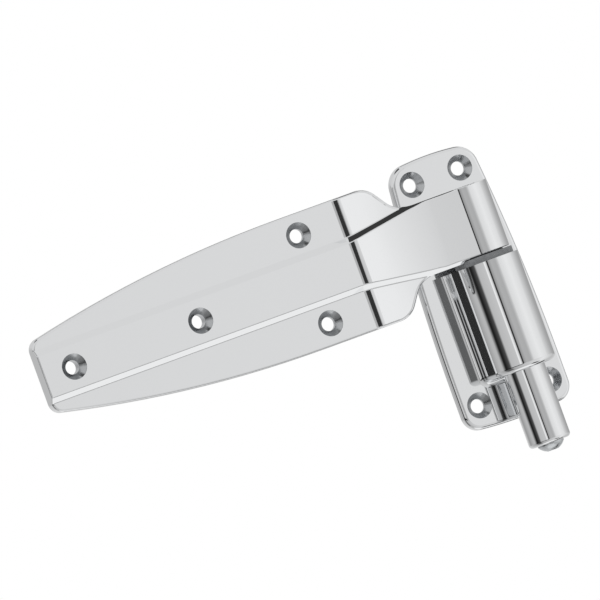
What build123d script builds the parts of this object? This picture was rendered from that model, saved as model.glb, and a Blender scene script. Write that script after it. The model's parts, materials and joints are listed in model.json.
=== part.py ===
from build123d import *
import math
import os

# Cam-rise strap hinge, in millimetres.
# X runs along the strap, Z up along the pin, and the mounting plane is Y = 0 with the viewer on the -Y side.
# The origin lies on the mounting plane, behind the pin, level with the top of the barrel.

# Flange leaf
FLANGE_THICK = 5.0
FLANGE_CENTRE = -3.2
FLANGE_TOP_WIDTH = 46.8
FLANGE_BOTTOM_WIDTH = 60.0
FLANGE_SIDE_STRAIGHT = 20.0
FLANGE_ARCH = 2.0
FLANGE_TOP_CORNER = 11.0
FLANGE_BOTTOM_CORNER = 8.6
FLANGE_EDGE = 2.0
TOP_HOLES_ABOVE_KNUCKLE = 9.5
TOP_HOLES_APART = 27.2
TOP_MARGIN = 11.7
BOTTOM_HOLES_BELOW_BARREL = 9.4
BOTTOM_HOLES_APART = 39.8
BOTTOM_MARGIN = 12.9

# Barrel, its web and the spring tube
BARREL_HEIGHT = 57.5
BARREL_WALL = 2.15
BARREL_FORWARD = 3.0
BARREL_EDGE = 3.0
WEB_DRAFT = 0.6
WEB_ROOT = 3.0
TUBE_LENGTH = 39.0
TUBE_WALL = 2.3
TUBE_EDGE = 2.0
CHAMBER_ROOF = 8.0
CORE_WALL = 3.4
CORE_BELOW_ROOF = 1.0
CORE_FLOOR = 5.0

# Screw holes for flat-head screws
HOLE_DIA = 7.2
SINK_DIA = 13.2
SINK_ANGLE = 90.0
SINK_LIP = 0.35

# Cams
CAM_LEAD = 40.0
CAM_LOBES = 2
CAM_DIA = 21.6
CAM_AXIAL_CLEAR = 0.25
CAM_STOP_CLEAR = 1.5
CAM_RIM_PROUD = 0.8
CAM_RIM_HEIGHT = 3.2
CAM_BOSS_DIA = 24.8
CAM_BOSS_DEPTH = 9.0
CAM_FIT = 0.05
CAM_KEYS = 4
CAM_KEY_WIDTH = 4.0
CAM_KEY_REACH = 1.6
CAM_HEAD_THICK = 5.0
CAM_HEAD_KEYS = 2

# Strap knuckle and neck
KNUCKLE_WALL = 3.4
KNUCKLE_BORE_CLEAR = 0.3
KNUCKLE_RUN = 0.5
KNUCKLE_ROOF = 4.0
KNUCKLE_EDGE = 0.5
LEAF_GAP = 1.0
RIM_RELIEF = 0.9
NECK_LENGTH = 60.3
NECK_CREASE = 3.0
NECK_FOOT = 3.2
NECK_FOOT_SLOPE = 20.8
NECK_FOOT_BLEND = 24.0
NECK_BACK_RADIUS = 15.0
NECK_CROWN = 1.4
NECK_FACE_RUN = 38.8
NECK_BLEND = 40.0

# Strap leaf
STRAP_REACH = 236.7
STRAP_DROP = 0.6
STRAP_THICK = 6.0
STRAP_WIDTH = 69.2
STRAP_TIP_WIDTH = 36.6
STRAP_PARALLEL = 29.7
STRAP_TIP_CORNER = 6.0
STRAP_EDGE = 1.2
SHOULDER_RUN = 16.65
SHOULDER_SLANT = 10.05
SHOULDER_OUTER_RADIUS = 10.0
SHOULDER_INNER_RADIUS = 12.0
RIB_HEIGHT = 3.0
RIB_FACE_WIDTH = 22.0
RIB_EDGE = 0.8
RIB_ROOT = 0.8
RIB_END = 0.7
RIB_HOLE_INSET = 16.9
RIB_HOLES_APART = 71.1
PLATE_HOLES_BEFORE_BEND = 22.9
PLATE_HOLES_APART = 46.8
STRAP_WALL = 3.2
STRAP_RIM = 4.0
STRAP_CORE_BEFORE_BEND = 9.0
STRAP_BOSS_DIA = 17.0

# Pin, its set screw and its lower screw
PIN_DIA = 12.0
PIN_RUN = 0.08
PIN_PRESS = 0.02
PIN_CHAMFER = 0.8
PIN_GRIP = 6.4
LOCK_DIA = 5.0
LOCK_POINT_DIA = 3.0
LOCK_POINT = 0.8
LOCK_RECESS = 1.2
LOCK_SOCKET = 2.5
LOCK_SOCKET_DEPTH = 2.5
LOCK_FIT = 0.05
SCREW_DIA = 8.0
SCREW_HEAD_DIA = 13.6
SCREW_HEAD_HEIGHT = 4.3
SCREW_HEAD_RIM = 0.7
SCREW_REACH = 14.0
SCREW_SOCKET = 5.0
SCREW_SOCKET_DEPTH = 2.4
SCREW_FIT = 0.05

# Spring, its seat and the washers
SPRING_WIRE = 1.7
SPRING_TURNS = 8
SPRING_PIN_CLEAR = 0.3
CHAMBER_CLEAR = 0.6
SEAT_CLEAR = 0.5
SEAT_HEIGHT = 3.0
WASHER_CLEAR = 0.25
SPRING_WASHER_THICK = 1.0
PIN_WASHER_THICK = 2.0
LOCK_WASHER_DIA = 12.8
LOCK_WASHER_THICK = 1.8
LOCK_WASHER_SPLIT = 1.2
LOCK_WASHER_SLANT = 30.0

# Room that a cutting shape takes past the face that it cuts
OVER = 1.0
DEEP = 80.0

# How nearly a face looks straight forward, and an edge stands straight up, to count as one that does
FORWARD_FACE = 0.8
UPRIGHT_EDGE = 0.9

# Radii about the pin line, from the pin outwards
PIN_R = PIN_DIA / 2
SPRING_R = PIN_R + SPRING_PIN_CLEAR + SPRING_WIRE
CHAMBER_R = SPRING_R + CHAMBER_CLEAR
SEAT_R = CHAMBER_R - SEAT_CLEAR
PIN_BORE_R = PIN_R + WASHER_CLEAR
SCREW_BORE_R = SCREW_DIA / 2 + WASHER_CLEAR
TUBE_R = CHAMBER_R + TUBE_WALL
CAM_R = CAM_DIA / 2
KNUCKLE_BORE_R = CAM_R + KNUCKLE_BORE_CLEAR
KNUCKLE_R = KNUCKLE_BORE_R + KNUCKLE_WALL
CAM_RIM_R = KNUCKLE_R + CAM_RIM_PROUD
CAM_BOSS_R = CAM_BOSS_DIA / 2
BARREL_R = CAM_BOSS_R + CAM_KEY_REACH + CAM_FIT + BARREL_WALL

# Heights along the pin line
LOBE_RISE = CAM_LEAD / CAM_LOBES
LOBE_TOP = CAM_RIM_HEIGHT + LOBE_RISE
STOP_LIFT = CAM_LEAD * CAM_STOP_CLEAR / 360
UPPER_CAM_TOP = LOBE_TOP + CAM_AXIAL_CLEAR + STOP_LIFT + CAM_HEAD_THICK
PIN_TOP = UPPER_CAM_TOP + PIN_GRIP
LOCK_Z = UPPER_CAM_TOP + PIN_GRIP / 2
KNUCKLE_BOTTOM = CAM_RIM_HEIGHT + KNUCKLE_RUN
KNUCKLE_TOP = PIN_TOP + KNUCKLE_ROOF
CHAMBER_TOP = -CAM_BOSS_DEPTH - CHAMBER_ROOF
SPRING_TOP = CHAMBER_TOP - SPRING_WASHER_THICK
TUBE_BOTTOM = -BARREL_HEIGHT - TUBE_LENGTH
PIN_BOTTOM = TUBE_BOTTOM + LOCK_WASHER_THICK + PIN_WASHER_THICK
SEAT_TOP = PIN_BOTTOM + SEAT_HEIGHT
TOP_HOLES_Z = KNUCKLE_TOP + TOP_HOLES_ABOVE_KNUCKLE
FLANGE_TOP = TOP_HOLES_Z + TOP_MARGIN
BOTTOM_HOLES_Z = -BARREL_HEIGHT - BOTTOM_HOLES_BELOW_BARREL
FLANGE_BOTTOM = BOTTOM_HOLES_Z - BOTTOM_MARGIN

# Places off the mounting plane and along the strap
PIN_STANDOFF = FLANGE_THICK + LEAF_GAP + KNUCKLE_R
PIN_LINE = Pos(0, -PIN_STANDOFF, 0)
LOCK_TIP = PIN_STANDOFF - PIN_R
LOCK_BACK = PIN_STANDOFF - KNUCKLE_R + LOCK_RECESS
BARREL_STANDOFF = PIN_STANDOFF + BARREL_FORWARD
WEB_LEAN = math.radians(WEB_DRAFT)
WEB_TOUCH_X = BARREL_R * math.cos(WEB_LEAN)
WEB_TOUCH_Y = BARREL_STANDOFF + BARREL_R * math.sin(WEB_LEAN)
STRAP_MID = (KNUCKLE_BOTTOM + KNUCKLE_TOP) / 2 - STRAP_DROP
STRAP_HALF = STRAP_WIDTH / 2
STRAP_TIP_HALF = STRAP_TIP_WIDTH / 2
STRAP_TIP = -STRAP_REACH
NECK_HALF = KNUCKLE_TOP - STRAP_MID
NECK_BEND = -NECK_LENGTH
NECK_FACE_FULL = NECK_BEND + NECK_FACE_RUN
STRAP_FULL_FROM = NECK_BEND - STRAP_PARALLEL
SHOULDER_START = NECK_BEND + SHOULDER_RUN
SHOULDER_END = SHOULDER_START + SHOULDER_SLANT
RIB_FACE_HALF = RIB_FACE_WIDTH / 2
RIB_FRONT = STRAP_THICK + RIB_HEIGHT
NECK_FOOT_RUN = NECK_FOOT * math.cos(math.radians(NECK_FOOT_SLOPE))
NECK_FOOT_RISE = NECK_FOOT * math.sin(math.radians(NECK_FOOT_SLOPE))
NECK_RUN = NECK_LENGTH - NECK_FOOT_RUN
NECK_RISE = PIN_STANDOFF - RIB_FRONT - NECK_FOOT_RISE
NECK_CHORD = math.atan2(NECK_RISE, NECK_RUN) + math.asin(KNUCKLE_R / math.hypot(NECK_RUN, NECK_RISE))
NECK_TILT = NECK_CHORD - math.radians(NECK_CROWN)


def turned(outline):
    """Solid of revolution about the pin line from (radius, height) corners."""
    profile = make_face(Plane.XZ * Polyline(*outline, close=True))
    return PIN_LINE * revolve(profile, Axis.Z)


def ring(inner, outer, bottom, top):
    """Plain ring on the pin line between two heights."""
    return turned([(inner, bottom), (outer, bottom), (outer, top), (inner, top)])


def rod(radius, bottom, top):
    """Plain cylinder on the pin line between two heights."""
    return turned([(0, bottom), (radius, bottom), (radius, top), (0, top)])


def rounded(outline, corner, radius):
    """Outline with the corner nearest to a point rounded."""
    vertex = outline.vertices().sort_by_distance(corner)[0]
    return fillet(vertex, radius)


def screw_hole(x, z, front):
    """Countersunk hole through a leaf whose face stands a given height off the mounting plane."""
    hole_r = HOLE_DIA / 2
    sink_r = SINK_DIA / 2
    sink_depth = (sink_r - hole_r) / math.tan(math.radians(SINK_ANGLE / 2))
    profile = make_face(
        Polyline(
            (0, OVER),
            (hole_r, OVER),
            (hole_r, -front + SINK_LIP + sink_depth),
            (sink_r, -front + SINK_LIP),
            (sink_r, -front - OVER),
            (0, -front - OVER),
            close=True,
        )
    )
    return Pos(x, 0, z) * revolve(profile, Axis.Y)


def radial_keys(count, inner, outer, width, bottom, top):
    """Rectangular keys spaced round the pin line."""
    key = Pos((inner + outer) / 2, 0, (bottom + top) / 2) * Box(outer - inner, width, top - bottom)
    keys = key
    for step in range(1, count):
        keys = keys + Rot(0, 0, 360 / count * step) * key
    return PIN_LINE * keys


def cam_lobes(inner, outer, below):
    """Helical lobes on the rim, each rising over its share of a turn to a straight stop wall."""
    path = Edge.make_helix(CAM_LEAD, LOBE_RISE, CAM_R)
    wide = outer - inner + 2 * OVER
    deep = LOBE_RISE + below
    slab = Plane.XZ * Pos((inner + outer) / 2, -deep / 2) * Rectangle(wide, deep)
    ramp = sweep(slab, path=path, is_frenet=True)
    share = Pos(0, 0, (LOBE_RISE - below) / 2) * (Cylinder(outer, deep) - Cylinder(inner, deep))
    lobe = ramp & share
    lobes = lobe
    for step in range(1, CAM_LOBES):
        lobes = lobes + Rot(0, 0, 360 / CAM_LOBES * step) * lobe
    return lobes


def make_lower_cam():
    """Nylon cam in the barrel: keyed boss below, rim on the barrel's top, lobes above."""
    bore = PIN_R + PIN_RUN
    body = turned(
        [
            (bore, -CAM_BOSS_DEPTH),
            (CAM_BOSS_R, -CAM_BOSS_DEPTH),
            (CAM_BOSS_R, 0),
            (CAM_RIM_R, 0),
            (CAM_RIM_R, CAM_RIM_HEIGHT),
            (bore, CAM_RIM_HEIGHT),
        ]
    )
    keys = radial_keys(
        CAM_KEYS, CAM_BOSS_R - OVER, CAM_BOSS_R + CAM_KEY_REACH, CAM_KEY_WIDTH, -CAM_BOSS_DEPTH, 0
    )
    lobes = PIN_LINE * Pos(0, 0, CAM_RIM_HEIGHT) * cam_lobes(bore, CAM_R, OVER)
    return body + keys + lobes


def make_upper_cam():
    """Nylon cam in the knuckle: its underside is the counterpart of the lower cam's lobes."""
    bore = PIN_R + PIN_RUN
    outer = KNUCKLE_BORE_R - CAM_FIT
    body = ring(bore, outer, CAM_RIM_HEIGHT, UPPER_CAM_TOP)
    body = body + radial_keys(
        CAM_HEAD_KEYS, outer - OVER, outer + CAM_KEY_REACH, CAM_KEY_WIDTH, LOBE_TOP, UPPER_CAM_TOP
    )
    lift = CAM_RIM_HEIGHT + CAM_AXIAL_CLEAR + STOP_LIFT
    room = cam_lobes(bore - OVER, outer + OVER, OVER)
    return body - PIN_LINE * Pos(0, 0, lift) * Rot(0, 0, CAM_STOP_CLEAR) * room


def strap_outline():
    """Strap leaf seen from the front: tapering blade, shoulders and neck, about its own mid line."""
    tip = (STRAP_TIP, STRAP_TIP_HALF)
    full = (STRAP_FULL_FROM, STRAP_HALF)
    outer = (SHOULDER_START, STRAP_HALF)
    inner = (SHOULDER_END, NECK_HALF)
    edges = [
        Line((STRAP_TIP, 0), tip),
        TangentArc(full, tip, tangent=(-1, 0)),
        Polyline(full, outer, inner, (0, NECK_HALF), (0, 0), (STRAP_TIP, 0)),
    ]
    half = make_face(edges)
    half = rounded(half, tip, STRAP_TIP_CORNER)
    half = rounded(half, outer, SHOULDER_OUTER_RADIUS)
    half = rounded(half, inner, SHOULDER_INNER_RADIUS)
    return half + mirror(half, about=Plane.XZ)


def rib_outline():
    """Foot of the raised rib and neck, seen from the front, about the strap's mid line."""
    foot = RIB_FACE_HALF + RIB_HEIGHT
    top = KNUCKLE_TOP - STRAP_MID + RIB_HEIGHT - KNUCKLE_EDGE
    bottom = KNUCKLE_BOTTOM - STRAP_MID - RIB_HEIGHT + KNUCKLE_EDGE
    outline = make_face(
        Polyline(
            (STRAP_TIP, foot),
            (NECK_BEND, foot),
            (NECK_FACE_FULL, top),
            (0, top),
            (0, bottom),
            (NECK_FACE_FULL, bottom),
            (NECK_BEND, -foot),
            (STRAP_TIP, -foot),
            close=True,
        )
    )
    for corner in ((NECK_BEND, foot), (NECK_FACE_FULL, top), (NECK_FACE_FULL, bottom), (NECK_BEND, -foot)):
        outline = rounded(outline, corner, NECK_BLEND)
    return outline


def leaf_prism(outline):
    """Strap outline carried straight forward from the mounting plane."""
    return extrude(Plane.XZ * Pos(0, STRAP_MID) * outline, DEEP)


def bent_section(front):
    """Lengthwise section of the strap: flat blade, creased foot, and crowned neck up to the knuckle."""
    lead = (math.cos(NECK_TILT), math.sin(NECK_TILT))
    crease = (NECK_BEND, -front)
    foot = (NECK_BEND + NECK_FOOT_RUN, -front - NECK_FOOT_RISE)
    fold = (NECK_BEND, 0)
    touch = (-KNUCKLE_R * lead[1], -PIN_STANDOFF - KNUCKLE_R * lead[0] + RIB_FRONT - front)
    back_end = (-PIN_R, (NECK_BEND + PIN_R) * lead[1] / lead[0])
    behind = [(STRAP_TIP, 0), fold, back_end, (0, -PIN_STANDOFF)]
    edges = [
        Polyline(foot, crease, (STRAP_TIP, -front), *behind, touch),
        TangentArc(touch, foot, tangent=(-lead[0], lead[1])),
    ]
    section = make_face(edges)
    section = rounded(section, crease, NECK_CREASE)
    section = rounded(section, foot, NECK_FOOT_BLEND)
    section = rounded(section, fold, NECK_BACK_RADIUS)
    return Pos(0, 0, STRAP_MID - STRAP_HALF - OVER) * extrude(section, 2 * (STRAP_HALF + OVER))


def front_edges(solid):
    """Lengthwise edges of the faces that look straight forward or follow the neck."""
    faces = [face for face in solid.faces() if face.normal_at().Y < -FORWARD_FACE]
    edges = ShapeList(edge for face in faces for edge in face.edges())
    return ShapeList(edge for edge in edges if abs(edge.tangent_at(0.5).Z) < UPRIGHT_EDGE)


def strap_core(outline):
    """Pockets in the back of the strap, which leave its rim, its wall and a boss round each screw."""
    stop = NECK_BEND - STRAP_CORE_BEFORE_BEND
    flat = Pos((STRAP_TIP + stop) / 2, 0) * Rectangle(stop - STRAP_TIP, 2 * STRAP_HALF)
    wide = offset(outline, -STRAP_RIM) & flat
    rib_length = stop - STRAP_TIP - STRAP_RIM
    slim = Pos(stop - rib_length / 2, 0) * Rectangle(rib_length, 2 * RIB_FACE_HALF - STRAP_WALL)
    place = Plane.XZ * Pos(0, STRAP_MID)
    core = extrude(place * wide, STRAP_THICK - STRAP_WALL) + extrude(place * slim, RIB_FRONT - STRAP_WALL)
    for x, z, _ in strap_holes():
        core = core - Pos(x, 0, z) * Rot(90, 0, 0) * Cylinder(STRAP_BOSS_DIA / 2, DEEP)
    return core


def strap_holes():
    """Place and face height of each screw hole in the strap."""
    first = STRAP_TIP + RIB_HOLE_INSET
    holes = [(x, STRAP_MID, RIB_FRONT) for x in (first, first + RIB_HOLES_APART)]
    plate_x = NECK_BEND - PLATE_HOLES_BEFORE_BEND
    for side in (-1, 1):
        holes.append((plate_x, STRAP_MID + side * PLATE_HOLES_APART / 2, STRAP_THICK))
    return holes


def make_strap():
    """Strap leaf, rib, neck and knuckle as one casting, cored at the back and bored for cam and pin."""
    outline = strap_outline()
    prism = leaf_prism(outline)
    plate = prism & bent_section(STRAP_THICK)
    plate = fillet(front_edges(plate), STRAP_EDGE)
    raised = leaf_prism(rib_outline()) & bent_section(RIB_FRONT)
    raised = chamfer(front_edges(raised), RIB_HEIGHT)
    raised = fillet(front_edges(raised), RIB_EDGE)
    body = plate + (raised & prism)
    foot = RIB_FACE_HALF + RIB_HEIGHT
    blade = (STRAP_TIP + NECK_BEND) / 2
    roots = [(blade, -STRAP_THICK, STRAP_MID + side * foot) for side in (-1, 1)]
    body = fillet([body.edges().sort_by_distance(root)[0] for root in roots], RIB_ROOT)
    body = fillet(body.edges().sort_by_distance((STRAP_TIP, -RIB_FRONT, STRAP_MID))[0], RIB_END)
    knuckle = rod(KNUCKLE_R, KNUCKLE_BOTTOM, KNUCKLE_TOP)
    body = body + fillet(knuckle.edges().filter_by(GeomType.CIRCLE), KNUCKLE_EDGE)
    body = body - strap_core(outline)
    body = body - rod(CAM_RIM_R + RIM_RELIEF, 0, KNUCKLE_BOTTOM)
    body = body - rod(KNUCKLE_BORE_R, 0, UPPER_CAM_TOP)
    body = body - radial_keys(
        CAM_HEAD_KEYS,
        KNUCKLE_BORE_R - OVER,
        KNUCKLE_BORE_R + CAM_KEY_REACH,
        CAM_KEY_WIDTH + 2 * CAM_FIT,
        0,
        UPPER_CAM_TOP,
    )
    body = body - rod(PIN_R + PIN_PRESS, UPPER_CAM_TOP - OVER, PIN_TOP)
    body = body - along_y(LOCK_DIA / 2, PIN_STANDOFF, 0)
    for x, z, front in strap_holes():
        body = body - screw_hole(x, z, front)
    return body


def along_y(radius, front, back):
    """Cylinder at the set screw's height, from one distance off the mounting plane to another."""
    return Pos(0, -(front + back) / 2, LOCK_Z) * Rot(90, 0, 0) * Cylinder(radius, front - back)


def flange_outline():
    """Flange leaf seen from the front: arched ends, sides that draw in towards the top."""
    low = FLANGE_BOTTOM + FLANGE_ARCH
    high = FLANGE_TOP - FLANGE_ARCH
    low_half = FLANGE_BOTTOM_WIDTH / 2
    high_half = FLANGE_TOP_WIDTH / 2
    knee = (low_half, low + FLANGE_SIDE_STRAIGHT)
    edges = [
        RadiusArc((0, FLANGE_BOTTOM), (low_half, low), arch_radius(low_half)),
        Line((low_half, low), knee),
        TangentArc(knee, (high_half, high), tangent=(0, 1)),
        RadiusArc((high_half, high), (0, FLANGE_TOP), arch_radius(high_half)),
        Line((0, FLANGE_TOP), (0, FLANGE_BOTTOM)),
    ]
    half = make_face(edges)
    half = rounded(half, (low_half, low), FLANGE_BOTTOM_CORNER)
    half = rounded(half, (high_half, high), FLANGE_TOP_CORNER)
    return Pos(FLANGE_CENTRE, 0) * (half + mirror(half, about=Plane.YZ))


def arch_radius(half):
    """Radius of the leaf's arched end over half its width."""
    return -(half**2 + FLANGE_ARCH**2) / (2 * FLANGE_ARCH)


def web_half(standoff):
    """Half the width across the web's drafted sides at a given distance off the mounting plane."""
    return WEB_TOUCH_X + (WEB_TOUCH_Y - standoff) * math.tan(WEB_LEAN)


def housing_section(standoff):
    """Cross-section of barrel and web, carried back to a given distance off the mounting plane."""
    foot = web_half(standoff)
    web = make_face(
        Polyline(
            (-WEB_TOUCH_X, -WEB_TOUCH_Y),
            (-foot, -standoff),
            (foot, -standoff),
            (WEB_TOUCH_X, -WEB_TOUCH_Y),
            close=True,
        )
    )
    return web + Pos(0, -BARREL_STANDOFF) * Circle(BARREL_R)


def housing_core():
    """Pocket behind the barrel that leaves one wall round the spring chamber and one outside."""
    section = offset(housing_section(-DEEP), -CORE_WALL)
    behind = Pos(0, -PIN_STANDOFF / 2) * Rectangle(2 * web_half(0), PIN_STANDOFF)
    section = section & behind
    section = section - Pos(0, -PIN_STANDOFF) * Circle(CHAMBER_R + CORE_WALL)
    top = CHAMBER_TOP - CORE_BELOW_ROOF
    bottom = -BARREL_HEIGHT + CORE_FLOOR
    return Pos(0, 0, bottom) * extrude(section, top - bottom)


def flange_holes():
    """Place of each screw hole in the flange."""
    holes = []
    for side in (-1, 1):
        holes.append((FLANGE_CENTRE + side * TOP_HOLES_APART / 2, TOP_HOLES_Z))
        holes.append((FLANGE_CENTRE + side * BOTTOM_HOLES_APART / 2, BOTTOM_HOLES_Z))
    return holes


def make_flange():
    """Flange leaf, barrel, web and spring tube as one casting, cored behind the barrel."""
    plate = extrude(Plane.XZ * flange_outline(), FLANGE_THICK)
    plate = fillet(plate.faces().sort_by(Axis.Y)[0].edges(), FLANGE_EDGE)
    housing = Pos(0, 0, -BARREL_HEIGHT) * extrude(housing_section(0), BARREL_HEIGHT)
    lower = housing.faces().sort_by(Axis.Z)[0].edges()
    lower = lower.filter_by(lambda edge: edge.center().Y < -OVER)
    housing = fillet(lower, BARREL_EDGE)
    tube = rod(TUBE_R, TUBE_BOTTOM, -BARREL_HEIGHT + OVER)
    tube = fillet(tube.faces().sort_by(Axis.Z)[0].edges(), TUBE_EDGE)
    body = plate + housing
    foot = web_half(FLANGE_THICK)
    middle = -BARREL_HEIGHT / 2
    roots = [(-foot, middle), (foot, middle), (0, -BARREL_HEIGHT)]
    roots = [body.edges().sort_by_distance((x, -FLANGE_THICK, z))[0] for x, z in roots]
    body = fillet(roots, WEB_ROOT) + tube
    body = body - rod(CAM_BOSS_R + CAM_FIT, -CAM_BOSS_DEPTH, OVER)
    body = body - radial_keys(
        CAM_KEYS,
        CAM_BOSS_R - OVER,
        CAM_BOSS_R + CAM_KEY_REACH + CAM_FIT,
        CAM_KEY_WIDTH + 2 * CAM_FIT,
        -CAM_BOSS_DEPTH,
        OVER,
    )
    body = body - rod(PIN_BORE_R, CHAMBER_TOP - OVER, -CAM_BOSS_DEPTH + OVER)
    body = body - rod(CHAMBER_R, TUBE_BOTTOM - OVER, CHAMBER_TOP)
    body = body - housing_core()
    for x, z in flange_holes():
        body = body - screw_hole(x, z, FLANGE_THICK)
    return body


def make_hinge_pin():
    """Steel pin: chamfered ends, a seat for the set screw, a tapped hole in its lower end."""
    pin = turned(
        [
            (0, PIN_BOTTOM),
            (PIN_R - PIN_CHAMFER, PIN_BOTTOM),
            (PIN_R, PIN_BOTTOM + PIN_CHAMFER),
            (PIN_R, PIN_TOP - PIN_CHAMFER),
            (PIN_R - PIN_CHAMFER, PIN_TOP),
            (0, PIN_TOP),
        ]
    )
    pin = pin - rod(SCREW_DIA / 2, PIN_BOTTOM, PIN_BOTTOM + SCREW_REACH + SCREW_FIT)
    return pin - along_y(LOCK_POINT_DIA / 2 + LOCK_FIT, LOCK_TIP + LOCK_POINT, LOCK_TIP - OVER)


def make_pin_lock():
    """Set screw in the back of the knuckle, with a dog point in the pin and a hexagon socket."""
    body = along_y(LOCK_DIA / 2 - LOCK_FIT, LOCK_TIP - LOCK_FIT, LOCK_BACK)
    point = along_y(LOCK_POINT_DIA / 2, LOCK_TIP + LOCK_POINT - LOCK_FIT, LOCK_TIP - OVER)
    hexagon = RegularPolygon(LOCK_SOCKET / 2, 6, major_radius=False)
    socket = extrude(Plane.XZ * Pos(0, LOCK_Z) * hexagon, LOCK_SOCKET_DEPTH)
    return body + point - Pos(0, -LOCK_BACK, 0) * socket


def make_pin_screw():
    """Domed socket screw that closes the pin's lower end."""
    head_r = SCREW_HEAD_DIA / 2
    base = TUBE_BOTTOM
    edge = base - SCREW_HEAD_RIM
    bottom = base - SCREW_HEAD_HEIGHT
    shank_r = SCREW_DIA / 2 - SCREW_FIT
    sag = edge - bottom
    dome = (head_r**2 + sag**2) / (2 * sag)
    edges = [
        RadiusArc((head_r, edge), (0, bottom), dome),
        Polyline(
            (0, bottom),
            (0, PIN_BOTTOM + SCREW_REACH),
            (shank_r, PIN_BOTTOM + SCREW_REACH),
            (shank_r, base),
            (head_r, base),
            (head_r, edge),
        ),
    ]
    profile = Plane.XZ * make_face(edges)
    screw = PIN_LINE * revolve(profile, Axis.Z)
    hexagon = RegularPolygon(SCREW_SOCKET / 2, 6, major_radius=False)
    return screw - PIN_LINE * Pos(0, 0, bottom) * extrude(hexagon, SCREW_SOCKET_DEPTH)


def make_lock_washer():
    """Split lock washer under the screw's head."""
    washer = ring(SCREW_BORE_R, LOCK_WASHER_DIA / 2, TUBE_BOTTOM, TUBE_BOTTOM + LOCK_WASHER_THICK)
    split = Box(LOCK_WASHER_DIA, LOCK_WASHER_SPLIT, 2 * LOCK_WASHER_THICK)
    place = PIN_LINE * Pos(0, 0, TUBE_BOTTOM + LOCK_WASHER_THICK / 2) * Rot(LOCK_WASHER_SLANT, 0, 0)
    return washer - place * Pos(LOCK_WASHER_DIA / 2, 0, 0) * split


def make_assist_spring():
    """Compression spring with ground ends, from its seat up to the washer under the barrel's roof."""
    length = SPRING_TOP - SEAT_TOP
    path = Edge.make_helix(length / SPRING_TURNS, length, SPRING_R - SPRING_WIRE / 2)
    wire = Plane(path @ 0, z_dir=path % 0) * Circle(SPRING_WIRE / 2)
    coil = sweep(wire, path=path, is_frenet=True)
    ground = Pos(0, 0, length / 2) * Cylinder(CHAMBER_R, length)
    return PIN_LINE * Pos(0, 0, SEAT_TOP) * (coil & ground)


def write(parts):
    """Write each piece to its own file."""
    os.makedirs("parts", exist_ok=True)
    for name, solid in parts.items():
        export_step(solid, f"parts/{name}.step")


write(
    {
        "flange": make_flange(),
        "lower_cam": make_lower_cam(),
        "spring_washer": ring(PIN_BORE_R, SEAT_R, SPRING_TOP, CHAMBER_TOP),
        "assist_spring": make_assist_spring(),
        "spring_seat": ring(PIN_R + PIN_RUN, SEAT_R, PIN_BOTTOM, SEAT_TOP),
        "strap": make_strap(),
        "upper_cam": make_upper_cam(),
        "hinge_pin": make_hinge_pin(),
        "pin_lock": make_pin_lock(),
        "pin_washer": ring(SCREW_BORE_R, SEAT_R, PIN_BOTTOM - PIN_WASHER_THICK, PIN_BOTTOM),
        "lock_washer": make_lock_washer(),
        "pin_screw": make_pin_screw(),
    }
)
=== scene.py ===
"""Looks of a cam-rise strap hinge: its finishes, its coil spring and a white studio.

Lengths are in millimetres until they meet Blender, which works in metres.
"""

import json
import logging
import math
from dataclasses import dataclass, field
from enum import Enum, IntEnum

import bmesh
import bpy
from mathutils import Matrix, Vector


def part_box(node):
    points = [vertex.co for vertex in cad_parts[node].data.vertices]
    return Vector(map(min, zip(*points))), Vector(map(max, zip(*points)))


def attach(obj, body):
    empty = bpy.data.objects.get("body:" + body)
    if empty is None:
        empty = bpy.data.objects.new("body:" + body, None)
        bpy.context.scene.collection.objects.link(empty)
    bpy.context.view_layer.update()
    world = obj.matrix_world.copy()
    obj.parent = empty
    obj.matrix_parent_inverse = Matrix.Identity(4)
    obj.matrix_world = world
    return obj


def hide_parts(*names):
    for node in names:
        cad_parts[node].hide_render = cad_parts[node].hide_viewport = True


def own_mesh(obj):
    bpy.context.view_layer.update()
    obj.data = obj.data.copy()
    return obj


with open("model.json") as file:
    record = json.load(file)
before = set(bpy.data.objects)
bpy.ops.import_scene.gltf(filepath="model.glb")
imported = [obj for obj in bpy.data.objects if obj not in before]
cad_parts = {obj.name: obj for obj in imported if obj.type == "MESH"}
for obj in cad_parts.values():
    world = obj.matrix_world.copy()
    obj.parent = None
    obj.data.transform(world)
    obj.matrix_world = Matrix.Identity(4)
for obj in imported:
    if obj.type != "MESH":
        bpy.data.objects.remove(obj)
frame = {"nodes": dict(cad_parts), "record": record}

LOG = logging.getLogger("hinge")
MM = 0.001
WHITE = "#FFFFFF"
SRGB_KNEE = 0.04045
SRGB_SLOPE = 12.92
SRGB_OFFSET = 0.055
SRGB_POWER = 2.4


class Body(Enum):
    """Bodies of the hinge that pieces ride on."""

    FLANGE_LEAF = "flange_leaf"
    LIFT = "lift"
    STRAP_LEAF = "strap_leaf"


class Slot(Enum):
    """Finishes that the hinge's record names."""

    SPRING_STEEL = "spring_steel"


class MixInput(IntEnum):
    """Inputs of Blender's Mix node, several of which share a name."""

    FACTOR = 0
    VALUE_A = 2
    VALUE_B = 3
    COLOUR_A = 6
    COLOUR_B = 7


class MixOutput(IntEnum):
    """Outputs of Blender's Mix node, which all share a name."""

    VALUE = 0
    COLOUR = 2


def linear(hex_colour: str) -> tuple[float, float, float, float]:
    """Turn an sRGB hex colour into linear values.

    Args:
        hex_colour: Colour such as "#D8DADC".

    Returns:
        Linear red, green and blue, with an alpha of one.
    """
    shares = [int(hex_colour[i : i + 2], 16) / 255 for i in (1, 3, 5)]
    red, green, blue = (
        share / SRGB_SLOPE
        if share <= SRGB_KNEE
        else ((share + SRGB_OFFSET) / (1 + SRGB_OFFSET)) ** SRGB_POWER
        for share in shares
    )
    return red, green, blue, 1.0


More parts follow.
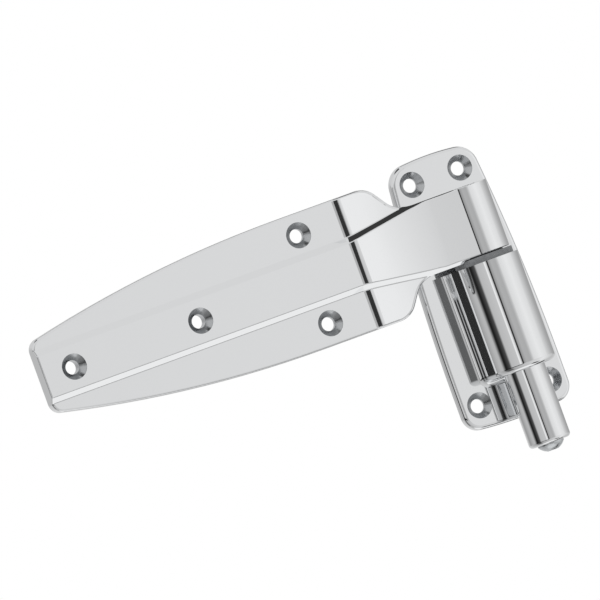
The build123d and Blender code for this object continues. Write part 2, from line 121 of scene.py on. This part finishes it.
def add_node(
    tree: bpy.types.NodeTree,
    kind: str,
    inputs: dict[str | int, object] | None = None,
    **settings: object,
) -> bpy.types.Node:
    """Add a node with its settings, and fill or link its inputs.

    Args:
        tree: Node tree that takes the node.
        kind: Blender's name of the node type.
        inputs: Value or output socket for each named or numbered input.
        **settings: Properties set on the node itself.

    Returns:
        The new node.
    """
    node = tree.nodes.new(kind)
    for name, value in settings.items():
        setattr(node, name, value)
    for name, value in (inputs or {}).items():
        socket = node.inputs[name]
        if isinstance(value, bpy.types.NodeSocket):
            tree.links.new(value, socket)
        else:
            socket.default_value = value
    return node


def ramp_stops(node: bpy.types.Node, stops: list[tuple[float, str]]) -> None:
    """Give a colour ramp its stops.

    Args:
        node: Colour ramp node.
        stops: Position and sRGB hex colour of each stop, in order.
    """
    elements = node.color_ramp.elements
    while len(elements) > 1:
        elements.remove(elements[-1])
    for index, (place, colour) in enumerate(stops):
        element = elements[0] if index == 0 else elements.new(place)
        element.position = place
        element.color = linear(colour)


def screw_holes() -> list[Vector]:
    """List the middles of the screw holes, in metres, from the mounts that the record names."""
    holes = []
    for mount in frame["record"]["mounts"]:
        if mount["kind"] != "bolt_pattern":
            continue
        sizes = mount["dims"]
        apart = Vector((sizes.get("spacing_x_mm", 0.0), 0.0, sizes.get("spacing_y_mm", 0.0)))
        half = apart * MM / 2
        holes += [Vector(mount["pos_m"]) - half, Vector(mount["pos_m"]) + half]
    return holes


@dataclass(frozen=True)
class Finish:
    """Base of a finish: a named material whose one shader each kind of surface fills in."""

    name: str
    colour: str
    metallic: float
    roughness: float

    def material(self) -> bpy.types.Material:
        """Make the material, or return it where it is made already."""
        known = bpy.data.materials.get(self.name)
        if known:
            return known
        made = bpy.data.materials.new(self.name)
        made.use_nodes = True
        tree = made.node_tree
        shader = tree.nodes["Principled BSDF"]
        shader.inputs["Base Color"].default_value = linear(self.colour)
        shader.inputs["Metallic"].default_value = self.metallic
        shader.inputs["Roughness"].default_value = self.roughness
        self.dress(tree, shader)
        return made

    def dress(self, tree: bpy.types.NodeTree, shader: bpy.types.Node) -> None:
        """Add what the surface shows besides its plain colour."""
        raise NotImplementedError

    def put_on(self, piece: bpy.types.Object) -> None:
        """Give every material slot of a piece this finish."""
        made = self.material()
        if not piece.material_slots:
            piece.data.materials.append(made)
        for slot in piece.material_slots:
            slot.material = made


@dataclass(frozen=True)
class PolishedChrome(Finish):
    """Bright chrome plate over buffed zinc: a mirror with a faint swell.

    The buffing wheel rides over the countersinks without reaching into them, so they are duller;
    their greyer colour is partly painted shade in the recesses and partly the thinner plate there.
    """

    name: str = "chrome_plated_zinc_buffed"
    colour: str = "#EAEBEC"
    metallic: float = 1.0
    roughness: float = 0.04
    swell_mm: float = 30.0
    swell_height_mm: float = 0.015
    swell_detail: float = 1.0
    haze_mm: float = 9.0
    haze_detail: float = 4.0
    haze_spread: tuple[float, float] = (0.6, 1.4)
    sink_radius_mm: float = 6.6
    sink_back_mm: float = 0.5
    sink_roughness: float = 0.2
    # Countersink colour: painted shade in the recesses, partly also the thinner plate there.
    sink_shade_colour: str = "#BFC1C3"

    def dress(self, tree: bpy.types.NodeTree, shader: bpy.types.Node) -> None:
        """Add the buffed swell, a thin uneven haze, and duller countersinks with painted shade in
        their colour.
        """
        place = add_node(tree, "ShaderNodeTexCoord").outputs["Object"]
        swell = add_node(
            tree,
            "ShaderNodeTexNoise",
            {"Vector": place, "Scale": 1 / (self.swell_mm * MM), "Detail": self.swell_detail},
        )
        bump = add_node(
            tree,
            "ShaderNodeBump",
            {
                "Height": swell.outputs["Fac"],
                "Strength": 1.0,
                "Distance": self.swell_height_mm * MM,
            },
        )
        tree.links.new(bump.outputs["Normal"], shader.inputs["Normal"])
        haze = add_node(
            tree,
            "ShaderNodeTexNoise",
            {"Vector": place, "Scale": 1 / (self.haze_mm * MM), "Detail": self.haze_detail},
        )
        clear, hazy = self.haze_spread
        spread = add_node(
            tree,
            "ShaderNodeMapRange",
            {
                "Value": haze.outputs["Fac"],
                "To Min": self.roughness * clear,
                "To Max": self.roughness * hazy,
            },
        )
        sinks = self.sinks(tree, place)
        dulled = add_node(
            tree,
            "ShaderNodeMix",
            {
                MixInput.FACTOR: sinks,
                MixInput.VALUE_A: spread.outputs["Result"],
                MixInput.VALUE_B: self.sink_roughness,
            },
        )
        tree.links.new(dulled.outputs[MixOutput.VALUE], shader.inputs["Roughness"])
        # Painted shade: the base colour turns greyer in the countersinks.
        painted_sink_shade = add_node(
            tree,
            "ShaderNodeMix",
            {
                MixInput.FACTOR: sinks,
                MixInput.COLOUR_A: linear(self.colour),
                MixInput.COLOUR_B: linear(self.sink_shade_colour),
            },
            data_type="RGBA",
        )
        tree.links.new(painted_sink_shade.outputs[MixOutput.COLOUR], shader.inputs["Base Color"])

    def sinks(
        self, tree: bpy.types.NodeTree, place: bpy.types.NodeSocket
    ) -> bpy.types.NodeSocket:
        """Mark the countersinks by how far a point lies from the nearest hole's line.

        The faces at the back, round the holes, stay out.

        Args:
            tree: Node tree of the material.
            place: Output that holds the point.

        Returns:
            Output that is one in a countersink and zero elsewhere.
        """
        flat = add_node(
            tree, "ShaderNodeVectorMath", {0: place, 1: (1.0, 0.0, 1.0)}, operation="MULTIPLY"
        )
        nearest = 1.0  # metres, farther than any hole
        for hole in screw_holes():
            apart = add_node(
                tree,
                "ShaderNodeVectorMath",
                {0: flat.outputs["Vector"], 1: (hole.x, 0.0, hole.z)},
                operation="DISTANCE",
            )
            least = add_node(
                tree,
                "ShaderNodeMath",
                {0: apart.outputs["Value"], 1: nearest},
                operation="MINIMUM",
            )
            nearest = least.outputs["Value"]
        inside = add_node(
            tree,
            "ShaderNodeMath",
            {0: nearest, 1: self.sink_radius_mm * MM},
            operation="LESS_THAN",
        )
        depth = add_node(tree, "ShaderNodeSeparateXYZ", {"Vector": place})
        ahead = add_node(
            tree,
            "ShaderNodeMath",
            {0: depth.outputs["Y"], 1: -self.sink_back_mm * MM},
            operation="LESS_THAN",
        )
        both = add_node(
            tree,
            "ShaderNodeMath",
            {0: inside.outputs["Value"], 1: ahead.outputs["Value"]},
            operation="MULTIPLY",
        )
        return both.outputs["Value"]


@dataclass(frozen=True)
class MouldedNylon(Finish):
    """Glass-filled nylon as moulded: dull mid grey, a fine mould grain and paler fibre flecks."""

    name: str = "nylon_glass_filled_moulded"
    colour: str = "#7C7E80"
    metallic: float = 0.0
    roughness: float = 0.48
    grain_mm: float = 0.6
    grain_height_mm: float = 0.05
    grain_detail: float = 3.0
    grain_strength: float = 0.35
    fleck_mm: float = 2.4
    fleck_detail: float = 5.0
    fleck_dark: str = "#6E7072"
    fleck_pale: str = "#8C8E90"
    fleck_stops: tuple[float, float, float] = (0.3, 0.6, 0.8)

    def dress(self, tree: bpy.types.NodeTree, shader: bpy.types.Node) -> None:
        """Add the mould grain and the flecks."""
        place = add_node(tree, "ShaderNodeTexCoord").outputs["Object"]
        grain = add_node(
            tree,
            "ShaderNodeTexNoise",
            {"Vector": place, "Scale": 1 / (self.grain_mm * MM), "Detail": self.grain_detail},
        )
        bump = add_node(
            tree,
            "ShaderNodeBump",
            {
                "Height": grain.outputs["Fac"],
                "Strength": self.grain_strength,
                "Distance": self.grain_height_mm * MM,
            },
        )
        tree.links.new(bump.outputs["Normal"], shader.inputs["Normal"])
        fleck = add_node(
            tree,
            "ShaderNodeTexNoise",
            {"Vector": place, "Scale": 1 / (self.fleck_mm * MM), "Detail": self.fleck_detail},
        )
        tone = add_node(tree, "ShaderNodeValToRGB", {"Fac": fleck.outputs["Fac"]})
        shades = (self.fleck_dark, self.colour, self.fleck_pale)
        ramp_stops(tone, list(zip(self.fleck_stops, shades)))
        tree.links.new(tone.outputs["Color"], shader.inputs["Base Color"])


@dataclass(frozen=True)
class TurnedSteel(Finish):
    """Bright steel turned or drawn round one line: fine rings that spread the shine along it."""

    name: str = "steel_bright_turned"
    colour: str = "#C4C6C9"
    metallic: float = 1.0
    roughness: float = 0.2
    ring_mm: float = 0.8
    ring_height_mm: float = 0.006
    ring_detail: float = 3.0
    ring_strength: float = 0.5
    across_mm: float = 500.0
    shine_spread: tuple[float, float] = (0.7, 1.4)

    def dress(self, tree: bpy.types.NodeTree, shader: bpy.types.Node) -> None:
        """Add rings along the pin line and an uneven shine."""
        place = add_node(tree, "ShaderNodeTexCoord").outputs["Object"]
        across = 1 / (self.across_mm * MM)
        stretch = add_node(
            tree,
            "ShaderNodeMapping",
            {"Vector": place, "Scale": (across, across, 1 / (self.ring_mm * MM))},
        )
        rings = add_node(
            tree,
            "ShaderNodeTexNoise",
            {"Vector": stretch.outputs["Vector"], "Scale": 1.0, "Detail": self.ring_detail},
        )
        bump = add_node(
            tree,
            "ShaderNodeBump",
            {
                "Height": rings.outputs["Fac"],
                "Strength": self.ring_strength,
                "Distance": self.ring_height_mm * MM,
            },
        )
        tree.links.new(bump.outputs["Normal"], shader.inputs["Normal"])
        bright, dull = self.shine_spread
        spread = add_node(
            tree,
            "ShaderNodeMapRange",
            {
                "Value": rings.outputs["Fac"],
                "To Min": self.roughness * bright,
                "To Max": self.roughness * dull,
            },
        )
        tree.links.new(spread.outputs["Result"], shader.inputs["Roughness"])


CHROME = PolishedChrome()
NYLON = MouldedNylon()
PIN_STEEL = TurnedSteel()
SPRING_STEEL = TurnedSteel(
    name="spring_steel_drawn_oiled", colour="#8C8F94", roughness=0.28, ring_mm=1.6
)
PLATED_STEEL = TurnedSteel(
    name="steel_zinc_plated", colour="#CFD2D4", roughness=0.28, ring_mm=1.1
)


@dataclass
class SubAssembly:
    """Base of a sub-assembly: the nodes of one body and the finish of each."""

    body: Body
    finishes: dict[str, Finish]

    def dress(self) -> None:
        """Give each node its finish."""
        for name, finish in self.finishes.items():
            finish.put_on(frame["nodes"][name])
            LOG.info("%s on %s wears %s", name, self.body.value, finish.name)

    def build(self) -> None:
        """Make what the nodes don't hold, where there is anything."""


@dataclass
class FlangeLeaf(SubAssembly):
    """Flange casting with the lower cam, and the spring in its tube."""

    body: Body = Body.FLANGE_LEAF
    finishes: dict[str, Finish] = field(
        default_factory=lambda: {
            "flange": CHROME,
            "lower_cam": NYLON,
            "spring_washer": PLATED_STEEL,
        }
    )
    spring_node: str = "assist_spring"
    spring_wire: float = 1.7
    spring_turns: int = 8
    steps_per_turn: int = 48
    wire_sides: int = 16
    rise_joint: str = "rise"

    def coil_mesh(self, low: Vector, high: Vector) -> bpy.types.Mesh:
        """Wind the wire between two heights, with ground ends.

        Args:
            low: Lowest corner of the spring's box, in metres.
            high: Highest corner of the spring's box, in metres.

        Returns:
            Mesh of the coil.
        """
        wire_r = self.spring_wire * MM / 2
        middle = (low + high) / 2
        coil_r = (high.x - low.x) / 2 - wire_r
        climb = (high.z - low.z) / (2 * math.pi * self.spring_turns)
        steps = self.spring_turns * self.steps_per_turn
        made = bmesh.new()
        rings = []
        for step in range(steps + 1):
            angle = 2 * math.pi * step / self.steps_per_turn
            out = Vector((math.cos(angle), math.sin(angle), 0.0))
            along = Vector((-coil_r * out.y, coil_r * out.x, climb)).normalized()
            side = along.cross(out)
            centre = Vector((middle.x, middle.y, low.z + climb * angle)) + out * coil_r
            ring = []
            for index in range(self.wire_sides):
                turn = 2 * math.pi * index / self.wire_sides
                corner = centre + (out * math.cos(turn) + side * math.sin(turn)) * wire_r
                corner.z = min(max(corner.z, low.z), high.z)
                ring.append(made.verts.new(corner))
            rings.append(ring)
        for ring, after in zip(rings, rings[1:]):
            for index in range(self.wire_sides):
                nearby = (index + 1) % self.wire_sides
                made.faces.new((ring[index], after[index], after[nearby], ring[nearby]))
        made.faces.new(rings[0])
        made.faces.new(reversed(rings[-1]))
        bmesh.ops.recalc_face_normals(made, faces=made.faces)
        mesh = bpy.data.meshes.new("coil_spring")
        made.to_mesh(mesh)
        made.free()
        mesh.shade_smooth()
        return mesh

    def build(self) -> None:
        """Put a wound spring in the place of the plain one."""
        low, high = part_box(self.spring_node)
        spring = bpy.data.objects.new("coil_spring", self.coil_mesh(low, high))
        bpy.context.scene.collection.objects.link(spring)
        SPRING_STEEL.put_on(spring)
        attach(spring, self.body.value)
        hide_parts(self.spring_node)
        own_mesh(spring)
        LOG.info("coil_spring replaces %s", self.spring_node)


@dataclass
class Lift(SubAssembly):
    """Thrust ring that carries the spring and rises with the strap."""

    body: Body = Body.LIFT
    finishes: dict[str, Finish] = field(default_factory=lambda: {"spring_seat": NYLON})


@dataclass
class StrapLeaf(SubAssembly):
    """Strap casting with the upper cam, the pin and what holds the pin."""

    body: Body = Body.STRAP_LEAF
    finishes: dict[str, Finish] = field(
        default_factory=lambda: {
            "strap": CHROME,
            "upper_cam": NYLON,
            "hinge_pin": PIN_STEEL,
            "pin_lock": PLATED_STEEL,
            "pin_washer": PLATED_STEEL,
            "lock_washer": PLATED_STEEL,
            "pin_screw": PLATED_STEEL,
        }
    )


@dataclass(frozen=True)
class Panel:
    """A place on the tent: its shade, and how far round it hangs, in degrees from the front."""

    azimuth: float
    shade: str


@dataclass(frozen=True)
class Layer:
    """A band of the tent that fades in between two heights of a unit ball."""

    start: float
    end: float
    panels: tuple[Panel, ...]


# The tent at the hinge's own height: the bands on the barrel, the tube, the bend and the neck.
WALL = (
    Panel(-180.0, "#DADADA"),
    Panel(-166.0, "#D0D0D0"),
    Panel(-154.0, "#B4B4B4"),
    Panel(-146.0, "#A3A3A3"),
    Panel(-116.0, "#C4C4C4"),
    Panel(-106.0, "#C4C4C4"),
    Panel(-96.5, "#6D6D6D"),
    Panel(-93.0, "#2B2B2B"),
    Panel(-88.0, "#1E1E1E"),
    Panel(-80.0, "#3C3C3C"),
    Panel(-72.0, "#525252"),
    Panel(-65.0, "#C7C7C7"),
    Panel(-35.2, "#D2D2D2"),
    Panel(-33.4, "#FFFFFF"),
    Panel(-31.0, "#FEFEFE"),
    Panel(-29.0, "#EBEBEB"),
    Panel(-24.6, "#CCCCCC"),
    Panel(-24.0, "#303030"),
    Panel(-19.6, "#3A3A3A"),
    Panel(-18.0, "#A3A3A3"),
    Panel(-8.0, "#BDBDBD"),
    Panel(8.0, "#B9B9B9"),
    Panel(14.0, "#CCCCCC"),
    Panel(20.0, "#EBEBEB"),
    Panel(47.0, "#FAFAFA"),
    Panel(75.0, "#EEEEEE"),
    Panel(84.0, "#DDDDDD"),
    Panel(100.0, "#C7C7C7"),
    Panel(115.0, "#B4B4B4"),
    Panel(140.0, "#A3A3A3"),
    Panel(158.0, "#C4C4C4"),
    Panel(180.0, "#DADADA"),
)

# A little lower, dark on the left: the dark ends of the bands at the barrel's lower rim.
SKIRT = Layer(
    -0.08,
    -0.14,
    (
        Panel(-180.0, "#E0E0E0"),
        Panel(-140.0, "#C8C8C8"),
        Panel(-106.0, "#B0B0B0"),
        Panel(-98.0, "#161616"),
        Panel(-24.0, "#161616"),
        Panel(-18.0, "#C8C8C8"),
        Panel(20.0, "#DCDCDC"),
        Panel(60.0, "#F4F4F4"),
        Panel(120.0, "#C8C8C8"),
        Panel(180.0, "#E0E0E0"),
    ),
)

# Lower again, grey on the far left only, so that the hinge stays bright from above.
APRON = Layer(
    -0.2,
    -0.26,
    (
        Panel(-180.0, "#E0E0E0"),
        Panel(-140.0, "#C8C8C8"),
        Panel(-106.0, "#B0B0B0"),
        Panel(-98.0, "#5E5E5E"),
        Panel(-74.0, "#5E5E5E"),
        Panel(-62.0, "#B8B8B8"),
        Panel(20.0, "#E0E0E0"),
        Panel(60.0, "#F8F8F8"),
        Panel(120.0, "#C8C8C8"),
        Panel(180.0, "#E0E0E0"),
    ),
)

# Steeply down, dark on the right and behind: the thin lines along the lower edges.
HEEL = Layer(
    -0.72,
    -0.76,
    (
        Panel(-180.0, "#E0E0E0"),
        Panel(-140.0, "#C8C8C8"),
        Panel(-62.0, "#B8B8B8"),
        Panel(16.0, "#D8D8D8"),
        Panel(24.0, "#4A4A4A"),
        Panel(56.0, "#4A4A4A"),
        Panel(66.0, "#F0F0F0"),
        Panel(98.0, "#D8D8D8"),
        Panel(106.0, "#161616"),
        Panel(160.0, "#161616"),
        Panel(168.0, "#E0E0E0"),
        Panel(180.0, "#E0E0E0"),
    ),
)

# Straight down, white: the chamfer under the rib.
GROUND = Layer(-0.9, -0.935, (Panel(0.0, WHITE),))

# Above the hinge, light all round.
ROOF = Layer(
    0.22,
    0.3,
    (
        Panel(-180.0, "#D8D8D8"),
        Panel(-90.0, "#E0E0E0"),
        Panel(0.0, "#E6E6E6"),
        Panel(90.0, "#E6E6E6"),
        Panel(180.0, "#D8D8D8"),
    ),
)

# Steeply up, dark behind: the thin lines along the upper edges.
CROWN = Layer(
    0.72,
    0.76,
    (
        Panel(-180.0, "#D8D8D8"),
        Panel(-90.0, "#E0E0E0"),
        Panel(0.0, "#E6E6E6"),
        Panel(98.0, "#E6E6E6"),
        Panel(106.0, "#242424"),
        Panel(160.0, "#242424"),
        Panel(168.0, "#D8D8D8"),
        Panel(180.0, "#D8D8D8"),
    ),
)

# Straight up, dark on the left: the wedge along the top of the neck.
VENT = Layer(
    0.88,
    0.93,
    (
        Panel(-180.0, "#3C3C3C"),
        Panel(-4.0, "#3C3C3C"),
        Panel(8.0, "#E6E6E6"),
        Panel(172.0, "#E6E6E6"),
        Panel(180.0, "#3C3C3C"),
    ),
)


@dataclass
class Studio:
    """White tent round the hinge, its lamp, its floor and the camera."""

    view_azimuth: float = -20.0
    view_roll: float = 20.0
    centre: tuple[float, float, float] = (-95.0, -8.0, 13.5)
    frame_width: float = 300.0
    distance: float = 12000.0
    sensor: float = 36.0
    sight_share: float = 4.0
    plain_shade: str = "#EDEDED"
    floor_drop: float = 350.0
    floor_radius: float = 620.0
    floor_sides: int = 96
    floor_colour: str = "#F1F1F0"
    floor_roughness: float = 0.9
    floor_fade: tuple[float, float] = (0.35, 0.95)
    lamp_watts: float = 4.0
    lamp_size: float = 900.0
    lamp_place: tuple[float, float, float] = (-700.0, -900.0, 1100.0)
    wall: tuple[Panel, ...] = WALL
    layers: tuple[Layer, ...] = (SKIRT, APRON, HEEL, GROUND, ROOF, CROWN, VENT)

    def tent(self) -> None:
        """Make the world: a tent for what shines, plain light for what doesn't, white behind."""
        world = bpy.data.worlds.new("white_tent")
        world.use_nodes = True
        bpy.context.scene.world = world
        tree = world.node_tree
        tree.nodes.clear()
        place = add_node(tree, "ShaderNodeTexCoord")
        apart = add_node(tree, "ShaderNodeSeparateXYZ", {"Vector": place.outputs["Generated"]})
        front = add_node(
            tree, "ShaderNodeMath", {0: apart.outputs["Y"], 1: -1.0}, operation="MULTIPLY"
        )
        angle = add_node(
            tree,
            "ShaderNodeMath",
            {0: apart.outputs["X"], 1: front.outputs["Value"]},
            operation="ARCTAN2",
        )
        turn = add_node(
            tree,
            "ShaderNodeMapRange",
            {"Value": angle.outputs["Value"], "From Min": -math.pi, "From Max": math.pi},
        )
        shade = self.hung(tree, turn.outputs["Result"], self.wall)
        for layer in self.layers:
            share = add_node(
                tree,
                "ShaderNodeMapRange",
                {"Value": apart.outputs["Z"], "From Min": layer.start, "From Max": layer.end},
            )
            cover = self.hung(tree, turn.outputs["Result"], layer.panels)
            shade = self.covered(tree, shade, cover, share.outputs["Result"])
        rays = add_node(tree, "ShaderNodeLightPath")
        shade = self.covered(tree, shade, linear(self.plain_shade), rays.outputs["Is Diffuse Ray"])
        shade = self.covered(tree, shade, linear(WHITE), rays.outputs["Is Camera Ray"])
        glow = add_node(tree, "ShaderNodeBackground", {"Color": shade, "Strength": 1.0})
        add_node(tree, "ShaderNodeOutputWorld", {"Surface": glow.outputs["Background"]})

    def hung(
        self, tree: bpy.types.NodeTree, turn: bpy.types.NodeSocket, panels: tuple[Panel, ...]
    ) -> bpy.types.NodeSocket:
        """Shade a band of the tent by its panels.

        Args:
            tree: Node tree of the world.
            turn: Output that runs from nought to one round the tent.
            panels: Panels in order of azimuth.

        Returns:
            Output that holds the shade.
        """
        ramp = add_node(tree, "ShaderNodeValToRGB", {"Fac": turn})
        ramp_stops(ramp, [(panel.azimuth / 360 + 0.5, panel.shade) for panel in panels])
        return ramp.outputs["Color"]

    def covered(
        self,
        tree: bpy.types.NodeTree,
        shade: bpy.types.NodeSocket,
        cover: bpy.types.NodeSocket | tuple[float, float, float, float],
        share: bpy.types.NodeSocket,
    ) -> bpy.types.NodeSocket:
        """Lay one shade over another.

        Args:
            tree: Node tree of the world.
            shade: Output that holds the shade below.
            cover: Shade on top, as an output or as linear values.
            share: Output that is one where only the cover shows.

        Returns:
            Output that holds the new shade.
        """
        mixed = add_node(
            tree,
            "ShaderNodeMix",
            {MixInput.FACTOR: share, MixInput.COLOUR_A: shade, MixInput.COLOUR_B: cover},
            data_type="RGBA",
        )
        return mixed.outputs[MixOutput.COLOUR]

    def floor_paint(self) -> bpy.types.Material:
        """Make the floor's pale matt paint, which fades to white at the rim."""
        made = bpy.data.materials.new("matt_paint_pale")
        made.use_nodes = True
        tree = made.node_tree
        shader = tree.nodes["Principled BSDF"]
        shader.inputs["Base Color"].default_value = linear(self.floor_colour)
        shader.inputs["Roughness"].default_value = self.floor_roughness
        place = add_node(tree, "ShaderNodeTexCoord")
        reach = add_node(
            tree, "ShaderNodeVectorMath", {0: place.outputs["Object"]}, operation="LENGTH"
        )
        inner, outer = (share * self.floor_radius * MM for share in self.floor_fade)
        fade = add_node(
            tree,
            "ShaderNodeMapRange",
            {"Value": reach.outputs["Value"], "From Min": inner, "From Max": outer},
            interpolation_type="SMOOTHSTEP",
        )
        white = add_node(tree, "ShaderNodeEmission", {"Color": linear(WHITE), "Strength": 1.0})
        blend = add_node(
            tree,
            "ShaderNodeMixShader",
            {0: fade.outputs["Result"], 1: shader.outputs["BSDF"], 2: white.outputs["Emission"]},
        )
        tree.links.new(blend.outputs["Shader"], tree.nodes["Material Output"].inputs["Surface"])
        return made

    def floor(self) -> None:
        """Lay a pale round floor well below the hinge."""
        disc = bmesh.new()
        bmesh.ops.create_circle(
            disc, cap_ends=True, segments=self.floor_sides, radius=self.floor_radius * MM
        )
        mesh = bpy.data.meshes.new("floor")
        disc.to_mesh(mesh)
        disc.free()
        mesh.materials.append(self.floor_paint())
        ground = bpy.data.objects.new("floor", mesh)
        ground.location = Vector((self.centre[0], self.centre[1], -self.floor_drop)) * MM
        ground.visible_glossy = False
        bpy.context.scene.collection.objects.link(ground)

    def lamp(self) -> None:
        """Hang one soft lamp above and to the left, for the shadow and the dull pieces."""
        data = bpy.data.lights.new("soft_box", "AREA")
        data.energy = self.lamp_watts
        data.size = self.lamp_size * MM
        box = bpy.data.objects.new("soft_box", data)
        box.location = Vector(self.lamp_place) * MM
        look = Vector(self.centre) - Vector(self.lamp_place)
        box.rotation_euler = look.to_track_quat("-Z", "Y").to_euler()
        box.visible_glossy = False
        bpy.context.scene.collection.objects.link(box)

    def camera(self) -> None:
        """Place a long lens at the photograph's angle, rolled as the hinge lies there."""
        turn = math.radians(self.view_azimuth)
        roll = math.radians(self.view_roll)
        look = Vector((-math.sin(turn), math.cos(turn), 0.0))
        across = look.cross(Vector((0.0, 0.0, 1.0)))
        up = across * math.sin(roll) + Vector((0.0, 0.0, math.cos(roll)))
        right = look.cross(up)
        data = bpy.data.cameras.new("long_lens")
        data.sensor_width = self.sensor
        data.lens = self.sensor * self.distance / self.frame_width
        data.clip_end = self.sight_share * self.distance * MM
        lens = bpy.data.objects.new("long_lens", data)
        stand = (Vector(self.centre) - look * self.distance) * MM
        axes = Matrix((right, up, -look)).transposed().to_4x4()
        lens.matrix_world = Matrix.Translation(stand) @ axes
        bpy.context.scene.collection.objects.link(lens)
        bpy.context.scene.camera = lens

    def build(self) -> None:
        """Set up the world, the floor, the lamp and the camera."""
        bpy.context.scene.view_settings.view_transform = "Standard"
        self.tent()
        self.floor()
        self.lamp()
        self.camera()
        LOG.info("studio set up")


def main() -> None:
    """Dress the hinge piece by piece and set up the studio."""
    logging.basicConfig(level=logging.INFO, format="%(name)s: %(message)s")
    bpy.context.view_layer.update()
    for part in (FlangeLeaf(), Lift(), StrapLeaf()):
        part.dress()
        part.build()
    Studio().build()


if __name__ == "__main__":
    main()
